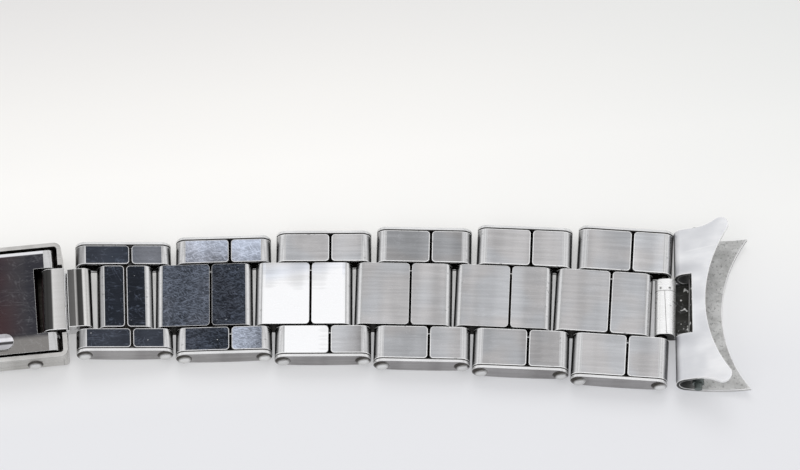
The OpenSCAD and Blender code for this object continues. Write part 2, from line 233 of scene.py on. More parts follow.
def effect_group(name, inputs, outputs):
    """A new node group with a Place input, the named numbers and the named outputs."""
    group = bpy.data.node_groups.new(name, "ShaderNodeTree")
    sockets = group.interface
    sockets.new_socket("Place", in_out="INPUT", socket_type="NodeSocketVector")
    for label, value in inputs.items():
        socket = sockets.new_socket(label, in_out="INPUT", socket_type="NodeSocketFloat")
        socket.default_value = value
    for label in outputs:
        sockets.new_socket(label, in_out="OUTPUT", socket_type="NodeSocketFloat")
    entry = group.nodes.new("NodeGroupInput").outputs
    leave = group.nodes.new("NodeGroupOutput").inputs
    return group, entry, leave


def use_effect(tree, name, place, **values):
    """Place a group in a tree. The keyword cloud_size sets its input Cloud size."""
    made = tree.nodes.new("ShaderNodeGroup")
    made.node_tree = bpy.data.node_groups[name]
    wire(tree, place, made.inputs["Place"])
    for label, value in values.items():
        wire(tree, value, made.inputs[label.replace("_", " ").capitalize()])
    return made.outputs


print("helpers ready")

# %% [markdown]
# ## Brushed grain
#
# The maker brushes the steel along the bracelet, so the grain is made of very fine
# grooves, long in one direction and narrow in the other. A noise texture has no
# direction of its own. If we stretch its coordinates along the brushing, its blobs
# become grooves. The group measures in millimetres, so its numbers are grooves per
# millimetre.

# %% Effect: brushed grain
group, entry, leave = effect_group(
    "brushed_grain", {"Along": 0.5, "Across": 14.0}, ["Height", "Tone"])
stretch = node(group, "CombineXYZ", entry["Along"], entry["Across"], entry["Across"])
grooves = scaled(group, entry["Place"], stretch.outputs[0])
wire(group, noise(group, grooves, 4.0, 0.65), leave["Height"])
slow = scaled(group, grooves, (0.35, 0.22, 0.22))
wire(group, noise(group, slow, 2.0), leave["Tone"])
print("group", group.name)

# %% [markdown]
# ## Hairline scratches
#
# Years on a wrist leave hairlines that run in every direction, but most of them
# along the arm. The lines where a noise crosses its middle value are long thin
# curves. Three sets of them, each turned and stretched in its own way and broken up
# by a second noise, read as scratches.

# %% Effect: hairline scratches
HAIR_SETS = ((6, 0.25, 3.2), (-21, 0.4, 2.4), (64, 0.5, 1.9))  # degrees, along, across
group, entry, leave = effect_group(
    "hairline_scratches", {"Width": 0.02, "Amount": 0.5}, ["Mask"])
total = None
for turn, along, across in HAIR_SETS:
    turned = node(group, "VectorRotate", entry["Place"], rotation_type="Z_AXIS")
    turned.inputs["Angle"].default_value = math.radians(turn)
    set_of = scaled(group, turned.outputs[0], (along, across, across))
    off_middle = maths(group, "SUBTRACT", noise(group, set_of, 3.0), 0.5)
    off_middle = maths(group, "ABSOLUTE", off_middle)
    beside = smooth_step(group, off_middle, 0.0, entry["Width"])
    line = maths(group, "SUBTRACT", 1.0, beside)
    broken = scaled(group, turned.outputs[0], (0.5, 1.1, 1.1))
    kept = smooth_step(group, noise(group, broken, 1.0), 0.5, 0.62)
    line = maths(group, "MULTIPLY", line, kept)
    total = line if total is None else maths(group, "MAXIMUM", total, line)
wire(group, maths(group, "MULTIPLY", total, entry["Amount"]), leave["Mask"])
print("group", group.name)

# %% [markdown]
# ## Soft bands
#
# Thin sheet is never quite flat after it has been folded. Its faces catch the light
# in soft bands that lie across the bracelet. A slow noise, stretched across, gives a
# tone that changes gently along each leaf.

# %% Effect: soft bands
group, entry, leave = effect_group("soft_bands", {"Bands": 0.3}, ["Tone"])
lie = node(group, "CombineXYZ", entry["Bands"], 0.035, 0.035).outputs[0]
wire(group, noise(group, scaled(group, entry["Place"], lie), 1.5), leave["Tone"])
print("group", group.name)

# %% [markdown]
# ## Scuffs
#
# One link has been rubbed against something gritty. Its leaves are covered with very
# short scratches, most of them nearly along the bracelet. A fine noise, stretched
# three ways and mixed, gives this woven look.

# %% Effect: scuffs
SCUFF_SETS = ((14, 1.3, 11.0), (-24, 1.6, 10.0), (58, 2.4, 9.0))  # degrees, along, across
group, entry, leave = effect_group("scuffs", {"Fineness": 1.0}, ["Mask"])
total = None
for turn, along, across in SCUFF_SETS:
    turned = node(group, "VectorRotate", entry["Place"], rotation_type="Z_AXIS")
    turned.inputs["Angle"].default_value = math.radians(turn)
    stretch = node(group, "CombineXYZ", *[
        maths(group, "MULTIPLY", entry["Fineness"], size) for size in (along, across, across)])
    woven = scaled(group, turned.outputs[0], stretch.outputs[0])
    line = smooth_step(group, noise(group, woven, 2.0, 0.6), 0.50, 0.70)
    total = line if total is None else maths(group, "MAXIMUM", total, line)
wire(group, total, leave["Mask"])
print("group", group.name)

# %% [markdown]
# ## Nicks and pits
#
# Edges and rolled ends knock against each other. Small sparse dents are the peaks of
# a fine noise: only where it is very high is there a nick.

# %% Effect: nicks
group, entry, leave = effect_group("nicks", {"Size": 2.5, "Rarity": 0.66}, ["Mask"])
sized = node(group, "VectorMath", entry["Place"], operation="SCALE")
wire(group, entry["Size"], sized.inputs["Scale"])
peaks = noise(group, sized.outputs[0], 2.0)
limit = maths(group, "ADD", entry["Rarity"], 0.05)
wire(group, smooth_step(group, peaks, entry["Rarity"], limit), leave["Mask"])
print("group", group.name)

# %% [markdown]
# ## A recipe for steel
#
# All the steels here share one recipe. A Principled shader with full Metallic is the
# metal. Grain and scratches change its colour, its roughness and, through a Bump
# node, the way its surface leans. What differs from finish to finish is a handful of
# numbers, so the recipe is a function and each finish is one call.

# %% The steel recipe
FROM_GRAIN, FROM_BANDS = 0.35, 0.65
HAIR_COLOUR, DENT_COLOUR = (0.86, 0.87, 0.9, 1), (0.12, 0.12, 0.12, 1)
HAIR_DEPTH, RELIEF = -0.35, 0.02 * MM
SMOOTHER, ROUGHER = 0.8, 1.2


def steel(name, dark, light, roughness, grain=0.05, across=14.0, scratch=0.1,
          nick=0.0, tone=None, tint=None, metallic=1.0, loose=False):
    """A finish between two colours. A loose piece has no place of its own to read."""
    material = bpy.data.materials.new(name)
    material.use_nodes = True
    tree = material.node_tree
    shader = tree.nodes["Principled BSDF"]
    shader.inputs["Metallic"].default_value = metallic
    place = millimetres(tree) if loose else own_place(tree)
    grains = use_effect(tree, "brushed_grain", place, across=across)
    hairs = use_effect(tree, "hairline_scratches", place, amount=1.0)["Mask"]
    bands = use_effect(tree, "soft_bands", place, bands=0.42)["Tone"]
    from_bands = maths(tree, "MULTIPLY", smooth_step(tree, bands, 0.3, 0.7), FROM_BANDS)
    share = smooth_step(tree, grains["Tone"], 0.3, 0.7)
    share = maths(tree, "MULTIPLY_ADD", share, FROM_GRAIN, from_bands)
    if tone is not None:
        share = tone(tree, place, share)
    colour = blend_colour(tree, share, (*dark, 1), (*light, 1))
    bright = maths(tree, "MULTIPLY", hairs, scratch)
    colour = blend_colour(tree, bright, colour, HAIR_COLOUR)
    if tint is not None:
        colour = tint(tree, place, colour)
    height = maths(tree, "MULTIPLY_ADD", grains["Height"], grain,
                   maths(tree, "MULTIPLY", hairs, HAIR_DEPTH * grain))
    if nick:
        dents = use_effect(tree, "nicks", place)["Mask"]
        depth = maths(tree, "MULTIPLY", dents, nick)
        colour = blend_colour(tree, depth, colour, DENT_COLOUR)
        height = maths(tree, "MULTIPLY_ADD", dents, -nick, height)
    wire(tree, colour, shader.inputs["Base Color"])
    rough = node(tree, "MapRange", grains["Height"], 0.3, 0.7,
                 roughness * SMOOTHER, roughness * ROUGHER)
    wire(tree, rough.outputs[0], shader.inputs["Roughness"])
    bump = node(tree, "Bump")
    bump.inputs["Strength"].default_value = 0.6
    bump.inputs["Distance"].default_value = RELIEF
    wire(tree, height, bump.inputs["Height"])
    wire(tree, bump.outputs["Normal"], shader.inputs["Normal"])
    return material


print("recipe ready")

# %% [markdown]
# ## The finishes of the links
#
# The rolled ends and the outer faces are evenly brushed. The flat wrist faces are
# different from leaf to leaf by a painted reflection: next to the clasp they are
# painted dark and glossy, one link is painted almost white, and the links near the
# case keep their grey brushed face. Each flat face carries its own number, called
# `tone`, and the material reads it with an Attribute node. A second number, `roll`,
# grows around each rolled end, so that the material can paint shade on it where it
# turns under. The thin rims of the sheet are polished by rubbing; on the two links
# next to the clasp they get a painted shade, and the seams get painted shade too.

# %% Finishes of the links
# GAP_SHADE is painted shade where a plate meets the links.
GAP_SHADE, RIVET_FOOT_SHADE = (0.03, 0.028, 0.026, 1), (0.07, 0.065, 0.06, 1)
# BLUE_REFLECTION is a painted reflection of something blue on the dark leaves.
BLUE_REFLECTION, NO_CAST = (0.70, 0.81, 1.04, 1), (1, 1, 1, 1)
COOL_BREATH, WARM_BREATH = (0.97, 0.985, 1.01, 1), (1.0, 0.98, 0.975, 1)
DUST = (0.8, 0.82, 0.85, 1)
TONE_SWING, USUAL_SCUFFS = 0.40, 0.36


def leaf_reflection_and_scuffs(tree, place, share):
    """The leaf's painted reflection tone, swung a little by grain and bands and more by
    scuffs.
    """
    scuffs = use_effect(tree, "scuffs", place)["Mask"]
    depth = maths(tree, "MULTIPLY_ADD", attribute(tree, "tone"), -1.6, 1.55)
    scuffs = maths(tree, "MULTIPLY", maths(tree, "SUBTRACT", scuffs, USUAL_SCUFFS), depth)
    swing = maths(tree, "MULTIPLY_ADD", maths(tree, "SUBTRACT", share, 0.5), TONE_SWING,
                  maths(tree, "MULTIPLY", scuffs, attribute(tree, "scuffed")))
    toned = maths(tree, "MULTIPLY", attribute(tree, "tone"), maths(tree, "ADD", swing, 1.0))
    return node(tree, "Clamp", toned).outputs[0]


def leaf_reflections_and_dust(tree, place, colour):
    """Painted reflections: a blue cast on dark leaves and a touch of sky on bright ones; dust
    shows on the dark.
    """
    tone, scuffed = attribute(tree, "tone"), attribute(tree, "scuffed")
    darkness = maths(tree, "SUBTRACT", 1.0, smooth_step(tree, tone, 0.04, 0.36))
    blue = maths(tree, "MAXIMUM", darkness, maths(tree, "MULTIPLY", scuffed, 0.6))
    sky = maths(tree, "MULTIPLY", bump_at(tree, tone, 0.8, 0.14), 0.2)
    cast = blend_colour(tree, maths(tree, "MAXIMUM", blue, sky), NO_CAST, BLUE_REFLECTION)
    dust = use_effect(tree, "nicks", place, size=2.2, rarity=0.72)["Mask"]
    dust = maths(tree, "MULTIPLY", dust, smooth_step(tree, darkness, 0.85, 1.0))
    slow = noise(tree, scaled(tree, place, (0.22, 0.22, 0.22)), 1.0)
    breath = blend_colour(tree, smooth_step(tree, slow, 0.4, 0.6), COOL_BREATH, WARM_BREATH)
    calm = smooth_step(tree, tone, 0.7, 1.0)
    breath = blend_colour(tree, calm, breath, NO_CAST)
    colour = multiplied(tree, multiplied(tree, colour, cast), breath)
    return blend_colour(tree, maths(tree, "MULTIPLY", dust, 0.6), colour, DUST)


def roll_painted_shade(tree, place, colour):
    """A rolled end with painted light: bright next to its leaf, painted shade where it turns
    under.
    """
    ramp = grey_ramp(tree, attribute(tree, "roll"), (0.0, 0.80), (0.05, 0.60), (0.12, 0.62),
                     (0.18, 0.84), (0.46, 0.82), (0.60, 0.55), (0.78, 0.46), (0.90, 0.14),
                     (1.0, 0.06))
    return multiplied(tree, colour, ramp)


def plate_gap_shade(tree, place, colour):
    """The plate's rim gets painted shade where it meets the links."""
    clean = smooth_step(tree, attribute(tree, "outward"), 0.10, 0.15)
    return blend_colour(tree, clean, GAP_SHADE, colour)


def painted_foot_shade(tree, place, colour):
    """Painted shade around the foot of a rivet's dome and along its shank."""
    facing = split(tree, node(tree, "TexCoord").outputs["Normal"])
    clean = smooth_step(tree, maths(tree, "ABSOLUTE", facing["Y"]), 0.70, 0.90)
    return blend_colour(tree, clean, RIVET_FOOT_SHADE, colour)


rolled_steel = steel("rolled_steel", (0.76, 0.76, 0.765), (0.93, 0.93, 0.93), 0.24,
                     grain=0.03, nick=0.35, tint=roll_painted_shade)
# leaf_steel reads each leaf's painted reflection tone.
leaf_steel = steel("leaf_steel", (0.0, 0.0, 0.0), (0.99, 0.99, 0.99), 0.3,
                   tone=leaf_reflection_and_scuffs, tint=leaf_reflections_and_dust)
rim_steel = steel("rim_steel", (0.86, 0.86, 0.86), (0.97, 0.97, 0.97), 0.2, grain=0.03,
                  nick=0.5, metallic=0.55)
# shaded_rim is a painted shade copy of rim_steel for the two links next to the clasp.
shaded_rim = steel("shaded_rim", (0.60, 0.60, 0.61), (0.80, 0.80, 0.81), 0.24, grain=0.03,
                   nick=0.5, metallic=0.7)
plate_steel = steel("plate_steel", (0.26, 0.25, 0.25), (0.42, 0.41, 0.41), 0.34, grain=0.07)
plate_rim = steel("plate_rim", (0.66, 0.66, 0.66), (0.82, 0.82, 0.82), 0.24, grain=0.03,
                  tint=plate_gap_shade, metallic=0.7)
# Rivets get painted shade at the foot of each dome.
rivet_steel = steel("rivet_steel", (0.66, 0.66, 0.65), (0.82, 0.82, 0.81), 0.2, grain=0.03,
                    tint=painted_foot_shade, loose=True)
# seam_shade is painted shade for faces in seams, between rows and inside the hollow links.
seam_shade = steel("seam_shade", (0.012, 0.011, 0.010), (0.05, 0.045, 0.04), 0.6, grain=0.2)
print("link finishes ready")

# %% [markdown]
# ## The finishes of the clasp and the end pieces
#
# The folding blade has gone brown and dark, with a paler strip along one edge. The
# end piece has a pale satin flange, and the inside of its outer sheet was never
# finished, so it is rough and grey. The loop that joins it to the last link is rubbed
# bright. Spring bars are plain dull steel.

# %% Finishes of the clasp and the end pieces
BROWN, BLADE_EDGE_HIGHLIGHT = (0.075, 0.036, 0.036, 1), (0.8, 0.8, 0.82, 1)
RAW_PATCH, RAW_SPECK = (0.26, 0.26, 0.25, 1), (0.10, 0.10, 0.095, 1)
FOLD_SHADE = (0.02, 0.022, 0.024, 1)
CRIMP_DARK, FLECK_AND_HIGHLIGHT = (0.05, 0.045, 0.04, 1), (0.85, 0.85, 0.83, 1)
FLANGE_CLOUD, FLANGE_SHADE = (0.60, 0.61, 0.64, 1), (0.46, 0.47, 0.50, 1)
FLANGE_CREASE_HIGHLIGHT = (0.99, 0.99, 1.0, 1)


def blade_share(tree, place, share):
    """The blade is paler along its near edge."""
    from_middle = maths(tree, "MULTIPLY", split(tree, place)["Y"], -1.0)
    strip = smooth_step(tree, from_middle, 3.7, 4.5)
    return maths(tree, "MAXIMUM", strip, maths(tree, "MULTIPLY", share, 0.12))


def brown_stain_and_edge_highlight(tree, place, colour):
    """Brown blots that end before the ears, and a painted highlight along the far edge."""
    sides = split(tree, place)
    blots = noise(tree, scaled(tree, place, (0.10, 0.14, 0.12)), 2.0)
    stain = maths(tree, "MULTIPLY", smooth_step(tree, blots, 0.24, 0.55), 0.6)
    stain = maths(tree, "MULTIPLY", stain, smooth_step(tree, sides["Y"], -4.4, -3.2))
    fade = maths(tree, "SUBTRACT", 1.0, smooth_step(tree, sides["X"], 14.5, 18.0))
    colour = blend_colour(tree, maths(tree, "MULTIPLY", stain, fade), colour, BROWN)
    # A painted highlight along the blade's far edge.
    far_edge_highlight = smooth_step(tree, sides["Y"], 5.5, 5.6)
    return blend_colour(tree, far_edge_highlight, colour, BLADE_EDGE_HIGHLIGHT)


def bead_painted_light(tree, place, colour):
    """The bead's crest gets a painted highlight on its far side and painted shade on its near
    side.
    """
    return multiplied(tree, colour, grey_ramp(
        tree, attribute(tree, "leaf"), (0.0, 0.5), (0.26, 0.62), (0.34, 0.07), (0.46, 0.10),
        (0.52, 1.0), (0.70, 1.0), (0.78, 0.55), (1.0, 0.6)))


def raw_inside(tree, place, colour):
    """Mottled bare sheet, with painted shade inside the fold."""
    patches = noise(tree, scaled(tree, place, (1.1, 1.1, 1.1)), 3.0)
    patches = maths(tree, "MULTIPLY", smooth_step(tree, patches, 0.42, 0.62), 0.3)
    colour = blend_colour(tree, patches, colour, RAW_PATCH)
    specks = noise(tree, scaled(tree, place, (3.4, 3.4, 3.4)), 4.0, 0.7)
    specks = maths(tree, "MULTIPLY", smooth_step(tree, specks, 0.54, 0.66), 0.6)
    colour = blend_colour(tree, specks, colour, RAW_SPECK)
    # Painted shade deep inside the fold.
    deep = smooth_step(tree, split(tree, place)["X"], -1.4, 0.6)
    deep = maths(tree, "MULTIPLY", maths(tree, "SUBTRACT", 1.0, deep), 0.9)
    return blend_colour(tree, deep, colour, FOLD_SHADE)


def crimped(tree, place, colour):
    """The rolled loop's thin seam, the line across it and its two crimp pits."""
    sides = split(tree, place)
    slanted = maths(tree, "MULTIPLY_ADD", sides["Y"], 0.05, sides["X"])
    below = smooth_step(tree, sides["Y"], 1.9, 1.8)
    marks = maths(tree, "MULTIPLY", bump_at(tree, slanted, 0.42, 0.06), below)
    marks = maths(tree, "MULTIPLY", marks, 0.8)
    line = maths(tree, "MULTIPLY", bump_at(tree, sides["Y"], 1.85, 0.08), 0.7)
    marks = maths(tree, "MAXIMUM", marks, line)
    for x in (-0.1, 0.85):
        pit = maths(tree, "MULTIPLY", bump_at(tree, sides["X"], x, 0.2),
                    bump_at(tree, sides["Y"], 2.15, 0.2))
        marks = maths(tree, "MAXIMUM", marks, pit)
    return blend_colour(tree, marks, colour, CRIMP_DARK)


def valley_flecks_and_highlight(tree, place, colour):
    """Bright flecks in the loop's valley, and a painted highlight along its second roll."""
    flecks = use_effect(tree, "nicks", place, size=1.7, rarity=0.62)["Mask"]
    # A painted highlight along the second roll.
    second_roll_highlight = bump_at(tree, split(tree, place)["X"], 2.85, 0.14)
    marks = maths(tree, "MAXIMUM", maths(tree, "MULTIPLY", flecks, 0.7),
                  maths(tree, "MULTIPLY", second_roll_highlight, 0.85))
    return blend_colour(tree, marks, colour, FLECK_AND_HIGHLIGHT)


def tube_painted_reflections(tree, place, colour):
    """Painted reflections: dark and bright bands along the two rolled leaves of the connector.
    """
    return multiplied(tree, colour, grey_ramp(
        tree, attribute(tree, "leaf"), (0.0, 0.9), (0.035, 0.9), (0.06, 0.04), (0.20, 0.06),
        (0.23, 0.68), (0.45, 0.50), (0.475, 0.02), (0.505, 0.02), (0.53, 0.11), (0.66, 0.14),
        (0.675, 0.5), (0.70, 0.36), (0.72, 0.04), (0.815, 0.06), (0.84, 0.78), (0.94, 0.55),
        (0.965, 0.05), (1.0, 0.03)))


def flange_crease_highlight_and_shade(tree, place, colour):
    """A painted highlight on a faint crease where the flange was pressed over its fold, and
    soft painted shade in clouds and beside the slot.
    """
    sides = split(tree, place)
    cloud = noise(tree, scaled(tree, place, (0.3, 0.3, 0.3)), 1.5)
    cloud = maths(tree, "MULTIPLY", smooth_step(tree, cloud, 0.38, 0.66), 0.55)
    colour = blend_colour(tree, cloud, colour, FLANGE_CLOUD)
    # Painted shade beside the slot, near the fold.
    beside_slot = bump_at(tree, maths(tree, "ABSOLUTE", sides["Y"]), 4.1, 1.5)
    at_fold = maths(tree, "SUBTRACT", 1.0, smooth_step(tree, sides["X"], -1.4, 1.2))
    dull = maths(tree, "MULTIPLY", maths(tree, "MULTIPLY", beside_slot, at_fold), 0.6)
    colour = blend_colour(tree, dull, colour, FLANGE_SHADE)
    # A painted highlight along the crease.
    line = bump_at(tree, maths(tree, "MULTIPLY_ADD", sides["X"], -0.1, sides["Y"]), 6.2, 0.12)
    crease = maths(tree, "MULTIPLY", line, smooth_step(tree, sides["X"], -1.6, -0.6))
    return blend_colour(tree, maths(tree, "MULTIPLY", crease, 0.35), colour, FLANGE_CREASE_HIGHLIGHT)


blade_steel = steel("blade_steel", (0.034, 0.034, 0.042), (0.23, 0.22, 0.21), 0.26,
                    scratch=0.08, tone=blade_share, tint=brown_stain_and_edge_highlight)
ear_steel = steel("ear_steel", (0.50, 0.50, 0.50), (0.66, 0.66, 0.66), 0.24, grain=0.03)
bead_steel = steel("bead_steel", (0.74, 0.73, 0.76), (0.90, 0.89, 0.93), 0.22, grain=0.02,
                   scratch=0.0, tint=bead_painted_light)
cover_steel = steel("cover_steel", (0.42, 0.41, 0.39), (0.62, 0.61, 0.59), 0.28)
# shaded_inside_steel is a dark material standing in for shade inside the cover.
shaded_inside_steel = steel("shaded_inside_steel", (0.020, 0.017, 0.014), (0.09, 0.08, 0.07), 0.45,
                    grain=0.2, nick=0.5)
satin_steel = steel("satin_steel", (0.84, 0.85, 0.87), (0.96, 0.96, 0.97), 0.42,
                    grain=0.02, across=9.0, scratch=0.0, tint=flange_crease_highlight_and_shade, metallic=0.85)
raw_steel = steel("raw_steel", (0.54, 0.54, 0.53), (0.72, 0.72, 0.71), 0.6, grain=0.3,
                  across=5.0, scratch=0.0, tint=raw_inside, metallic=0.5)
tube_steel = steel("tube_steel", (0.88, 0.86, 0.83), (1.0, 0.99, 0.97), 0.2,
                   grain=0.02, scratch=0.0, tint=tube_painted_reflections)
loop_steel = steel("loop_steel", (0.84, 0.84, 0.83), (0.99, 0.99, 0.99), 0.3, grain=0.12,
                   across=6.0, scratch=0.0, nick=0.6, tint=crimped, metallic=0.7)
# valley_shade is a dark material standing in for shade in the loop's valley and holes.
valley_shade = steel("valley_shade", (0.012, 0.012, 0.011), (0.06, 0.06, 0.055), 0.5,
                     grain=0.3, across=5.0, tint=valley_flecks_and_highlight)
bar_steel = steel("bar_steel", (0.10, 0.115, 0.11), (0.22, 0.25, 0.24), 0.45, across=8.0,
                  loose=True)
print("materials:", len(bpy.data.materials))

# %% [markdown]
# ## Softened copies of the solids
#
# An exact solid has knife-sharp edges, and no real edge is sharp. It is the tiny
# rounding that catches the light as a bright rim. A Bevel node could fake it in the
# shading, but a real bevel also holds in the silhouette and in the mesh itself. We
# copy a solid's mesh, merge its doubled corners, clear the triangles from its flat
# faces and bevel each hard edge. The bevel's faces get their own material. Every
# corner also remembers its place in the body's own axes, in millimetres. The effects
# read that `place`, so the grain turns with its link and differs from link to link.

# %% A helper that softens a solid
HARD = math.radians(34)
FLAT = math.radians(0.6)
SAME_SPOT = 1e-7
APART = 7.3  # between the patterns of one piece and the next, in mm
BODY, ROUNDED, THIRD, FOURTH = range(4)  # where a piece's finishes stand in its list


def softened(name, width, body_finish, rim_finish, faces=None):
    """Copy a node's solid, round its hard edges by width mm and let faces sort its faces."""
    source = frame["nodes"][name]
    mesh = bpy.data.meshes.new(name + "_dressed")
    work = bmesh.new()
    work.from_mesh(source.data)
    bmesh.ops.remove_doubles(work, verts=work.verts, dist=SAME_SPOT)
    bmesh.ops.dissolve_limit(work, angle_limit=FLAT, verts=work.verts, edges=work.edges)
    hard = [edge for edge in work.edges
            if len(edge.link_faces) == 2 and edge.calc_face_angle(0) > HARD]
    bmesh.ops.bevel(work, geom=hard, offset=width * MM, offset_type="OFFSET", segments=2,
                    profile=0.6, affect="EDGES", clamp_overlap=True, material=ROUNDED)
    mesh.materials.append(body_finish)
    mesh.materials.append(rim_finish)
    local = in_own_axes(name)
    place = work.verts.layers.float_vector.new("place")
    apart = Vector((0, 0, APART * len(bpy.data.meshes)))
    for vertex in work.verts:
        vertex[place] = local(vertex.co) + apart
    if faces is not None:
        faces(work, mesh, local)
    bmesh.ops.triangulate(work, faces=[f for f in work.faces if len(f.verts) > 4])
    work.to_mesh(mesh)
    work.free()
    mesh.shade_smooth()
    mesh.set_sharp_from_angle(angle=HARD)
    piece = bpy.data.objects.new(name + "_dressed", mesh)
    bpy.context.scene.collection.objects.link(piece)
    even = piece.modifiers.new("even", "WEIGHTED_NORMAL")
    even.keep_sharp = True
    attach(piece, source["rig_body"])
    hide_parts(name)
    return piece


print("softener ready")

# %% [markdown]
# ## The links
#
# Every leaf gets its painted reflection here. A leaf is a flat face on the wrist side,
# on one side of the seam. We find it by where it lies: its centre, seen in the link's
# own direction, is before or behind the seam. Nine grades of painted reflection, named
# in plain words from glossy black to white, are enough for all of them. Steel mirrors
# the room unevenly, so a few leaves also drift, as a painted reflection: they are paler
# or darker at their far edge, or get dimmer towards the case. Faces in the seam,
# between two rows and deep inside the hollow link get painted shade.

# %% Painted reflection of the leaves
SIDES = {"long": 6, "short": 5}
# The grades are painted reflection: how dark or bright each leaf mirrors the room.
REFLECTION_GRADES = {"black": 0.03, "dark": 0.06, "dusky": 0.12, "slate": 0.2, "shaded": 0.35,
        "dull": 0.4, "brushed": 0.5, "bright": 0.6, "white": 1.1}
LEAF_REFLECTIONS = {
    1: {"far": "dark slate", "middle": "black black", "near": "dark dark"},
    2: {"far": "brushed bright", "middle": "dusky dark", "near": "dark brushed"},
    3: {"far": "brushed brushed", "middle": "white white", "near": "white bright"},
    4: {"far": "shaded shaded", "middle": "brushed brushed", "near": "dull brushed"},
    5: {"far": "brushed brushed", "middle": "brushed brushed", "near": "dull dull"},
    6: {"far": "brushed bright", "middle": "brushed brushed", "near": "brushed brushed"},
}
NO_DRIFT, PALER, DARKER, DIMMER = (0.0, 0.0), (0.0, 0.3), (0.1, -0.7), (-0.3, 0.0)
REFLECTION_DRIFTS = {
    ("far", 2, 1): PALER, ("far", 2, 2): PALER, ("middle", 3, 1): DARKER,
    ("middle", 3, 2): DARKER, ("near", 2, 2): DIMMER, ("near", 3, 2): DIMMER,
}
SCUFFED = {1: 0.12, 2: 1.0, 3: 0.04}
HARDLY_SCUFFED = 0.02
# Painted reflection grades for the leaves of every link.
print("wear for", sum(SIDES.values()), "links")

# %% Find a link's leaves, rolls and seam
FACING_UP, SMALLEST_LEAF, LEAF_LEVEL = 0.97, 1e-6, 0.15
# FIRST_ROLL starts the painted shade of a first link's clasp-end roll in its darker part.
FIRST_ROLL = 0.6  # the clasp end of a first link shows only the darker part of its roll


def leaves_of(work, local):
    """The flat wrist faces, and the height at which they lie."""
    upper = [face for face in work.faces if face.material_index == BODY
             and face.normal.z > FACING_UP and face.calc_area() > SMALLEST_LEAF]
    highest = max(local(face.calc_center_median()).z for face in upper)
    level = highest - LEAF_LEVEL
    return [face for face in upper if local(face.calc_center_median()).z > level], highest


def mark_rolls(work, local, roll, leaves, number):
    """A number from 0, where a leaf ends, to 1 at the outermost point of its roll."""
    flat = [local(vertex.co).x for face in leaves for vertex in face.verts]
    reach = [local(vertex.co).x for vertex in work.verts]
    first, last, nearest, farthest = min(flat), max(flat), min(reach), max(reach)
    starts = FIRST_ROLL if number == 1 else 0.0
    for vertex in work.verts:
        x = local(vertex.co).x
        if x < first:
            vertex[roll] = starts + (1 - starts) * (first - x) / (first - nearest)
        elif x > last:
            vertex[roll] = (x - last) / (farthest - last)


def seam_of(leaves, local):
    """An X that parts the leaves, and the X of the seam's own middle."""
    ends = [local(vertex.co).x for face in leaves for vertex in face.verts]
    between = sum(local(face.calc_center_median()).x for face in leaves) / len(leaves)
    before = max(x for x in ends if x < between)
    behind = min(x for x in ends if x > between)
    return between, before / 2 + behind / 2


print("leaf finder ready")

# %% Sort a link's faces
# How far from the seam and how deep the painted shade reaches.
DARK_SEAM, SEAM_DEPTH, RIM_DEPTH = 0.4, 0.8, 0.16
INNER_REACH, INNER_DEPTH, UNDER_LEAF = 2.0, 0.5, 0.25


def add_seam_shade(work, local, seam, highest):
    """Painted shade in the seam, between the rows and on what shows deep inside."""
    for face in work.faces:
        centre = local(face.calc_center_median())
        below = highest - centre.z
        in_seam = abs(centre.x - seam) < DARK_SEAM and below < SEAM_DEPTH
        if face.material_index == BODY:
            under_leaf = face.normal.z > 0.9 and below > UNDER_LEAF
            between_rows = abs(face.normal.y) > 0.9
            if in_seam or under_leaf or between_rows:
                face.material_index = FOURTH
        elif face.material_index == ROUNDED and abs(centre.x - seam) < INNER_REACH:
            inside = face.normal.z > 0.1 and below > INNER_DEPTH
            if inside or in_seam and below > RIM_DEPTH:
                face.material_index = FOURTH


def paint_leaf(face, local, tone, grade, drift):
    """A leaf's painted reflection grade at each of its corners, with its drift along and
    across.
    """
    centre = local(face.calc_center_median())
    spots = [local(vertex.co) for vertex in face.verts]
    wide = max(spot.x for spot in spots) - min(spot.x for spot in spots)
    deep = max(spot.y for spot in spots) - min(spot.y for spot in spots)
    for corner in face.loops:
        spot = local(corner.vert.co)
        along = drift[0] * (spot.x - centre.x) / wide
        across = drift[1] * (spot.y - centre.y) / deep
        corner[tone] = grade + along + across


def leaf_faces(number, middle):
    """The face sorter of link number: of its middle piece or of its outer rows."""
    def sort(work, mesh, local):
        mesh.materials.append(leaf_steel)
        mesh.materials.append(seam_shade)
        tone = work.loops.layers.float.new("tone")
        scuffed = work.faces.layers.float.new("scuffed")
        roll = work.verts.layers.float.new("roll")
        leaves, highest = leaves_of(work, local)
        mark_rolls(work, local, roll, leaves, number)
        between, seam = seam_of(leaves, local)
        add_seam_shade(work, local, seam, highest)
        for face in leaves:
            centre = local(face.calc_center_median())
            row = "middle" if middle else "far" if centre.y > 0 else "near"
            leaf = 1 if centre.x < between else 2
            # The leaf's grade of painted reflection.
            grade = REFLECTION_GRADES[LEAF_REFLECTIONS[number][row].split()[leaf - 1]]
            paint_leaf(face, local, tone, grade, REFLECTION_DRIFTS.get((row, number, leaf), NO_DRIFT))
            face[scuffed] = SCUFFED.get(number, HARDLY_SCUFFED)
            face.material_index = THIRD
    return sort


def plate_faces(work, mesh, local):
    """A plate's upper rim is rubbed, and painted shade lies where it meets the links."""
    outward = work.verts.layers.float.new("outward")
    inner = min(abs(local(vertex.co).y) for vertex in work.verts)
    for vertex in work.verts:
        vertex[outward] = abs(local(vertex.co).y) - inner
    for face in work.faces:
        if face.normal.z > 0.3:
            face.material_index = ROUNDED


# The painted shade reaches DARK_SEAM mm from a seam.
print("grime within", DARK_SEAM, "mm of a seam")

